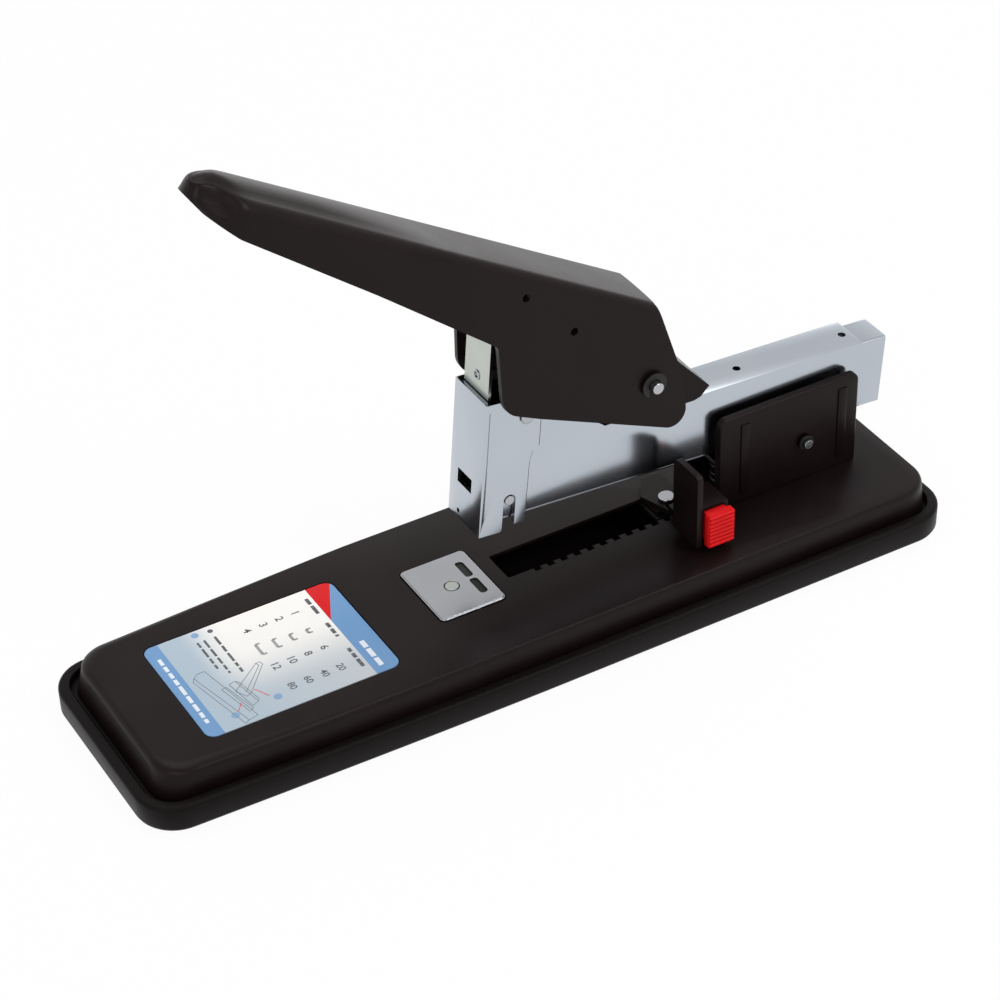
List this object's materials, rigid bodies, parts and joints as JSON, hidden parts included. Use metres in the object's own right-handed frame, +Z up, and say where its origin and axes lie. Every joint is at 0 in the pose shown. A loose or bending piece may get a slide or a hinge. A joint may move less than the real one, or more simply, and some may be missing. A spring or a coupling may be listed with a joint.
{
  "type": "long-arm desktop stapler",
  "caption": "Long-arm desktop stapler: a lever handle drives a blade through a tilting magazine onto an anvil on a long base with a sliding paper stop.",
  "frame": {"origin": "centre of the base's footprint on the ground", "axes": "+Z up, +X towards the hinge end, -X towards the handle's nose and the label, -Y the side of the red button"},
  "size_m": [0.26, 0.075, 0.1725],
  "materials": {
    "black_paint": "satin",
    "black_plastic": "satin",
    "zinc": "zinc plated, smooth",
    "steel": "ground",
    "nickel": "satin nickel",
    "dark_steel": "blackened",
    "red_plastic": "semi-gloss",
    "label_print": "printed film"
  },
  "bodies": {
    "base": {"base_pad": "black_plastic", "base_shell": "black_paint", "base_screw_1": "nickel", "base_screw_2": "nickel", "base_screw_3": "nickel", "base_screw_4": "nickel", "label": "label_print", "anvil_plate": "nickel", "anvil_rivet": "steel", "hinge_bracket": "black_paint", "bracket_rivet_1": "dark_steel", "bracket_rivet_2": "dark_steel", "magazine_pivot_pin": "nickel", "pivot_clip_near": "dark_steel", "pivot_clip_far": "dark_steel", "lift_spring": "dark_steel"},
    "guide": {"guide_carriage": "black_paint", "paper_stop": "black_paint", "guide_rivet": "nickel", "slider_block": "black_plastic", "slider_retainer": "dark_steel", "button_spring": "steel"},
    "button": {"release_button": "red_plastic", "release_pawl": "dark_steel"},
    "magazine": {"magazine_channel": "zinc", "hinge_cradle": "zinc", "magazine_head": "zinc", "driver_guide": "steel", "handle_yoke": "black_paint", "handle_pivot_pin": "nickel", "return_spring": "steel", "head_rivet_near": "nickel", "head_rivet_far": "nickel", "head_pin_near": "nickel", "head_pin_far": "nickel", "pivot_bush_near": "steel", "pivot_bush_far": "steel", "handle_clip_near": "dark_steel", "handle_clip_far": "dark_steel"},
    "rail": {"staple_rail": "zinc", "rail_end_cap": "zinc", "guide_rod": "steel", "pusher_spring": "steel"},
    "pusher": {"pusher": "steel"},
    "driver": {"driver_blade": "steel", "driver_carrier": "zinc", "driver_link_pin": "nickel", "driver_rivet": "nickel"},
    "handle": {"handle_shell": "black_paint", "handle_link_bracket": "zinc"}
  },
  "joints": [
    {"name": "magazine_tilt", "type": "hinge", "parent": "base", "child": "magazine", "pos_m": [0.0938, 0, 0.0302], "axis": [0, -1, 0], "range_deg": [0, 10.4], "stiffness_Nm_per_rad": 2.5, "springref_deg": -20.05, "deforming": ["lift_spring"]},
    {"name": "handle_press", "type": "hinge", "parent": "magazine", "child": "handle", "pos_m": [0.03999, 0, 0.0714], "axis": [0, -1, 0], "range_deg": [0, 25], "stiffness_Nm_per_rad": 1.5, "springref_deg": -22.92, "deforming": ["return_spring"]},
    {"name": "driver_stroke", "type": "slide", "parent": "magazine", "child": "driver", "axis": [-0.0872, 0, -0.9962], "range_m": [0, 0.0204]},
    {"name": "rail_slide", "type": "slide", "parent": "magazine", "child": "rail", "axis": [0.9976, 0, -0.0692], "range_m": [0, 0.095]},
    {"name": "pusher_slide", "type": "slide", "parent": "rail", "child": "pusher", "axis": [0.9976, 0, -0.0692], "range_m": [0, 0.088], "stiffness_N_per_m": 25, "springref_m": -0.12, "deforming": ["pusher_spring"]},
    {"name": "guide_slide", "type": "slide", "parent": "base", "child": "guide", "axis": [-1, 0, 0], "range_m": [0, 0.036]},
    {"name": "button_press", "type": "slide", "parent": "guide", "child": "button", "axis": [0, 1, 0], "range_m": [0, 0.0015], "stiffness_N_per_m": 800, "springref_m": -0.001, "deforming": ["button_spring"]}
  ],
  "couplings": [
    {"joint": "driver_stroke", "follows": "handle_press", "m_per_rad": 0.046295}
  ]
}
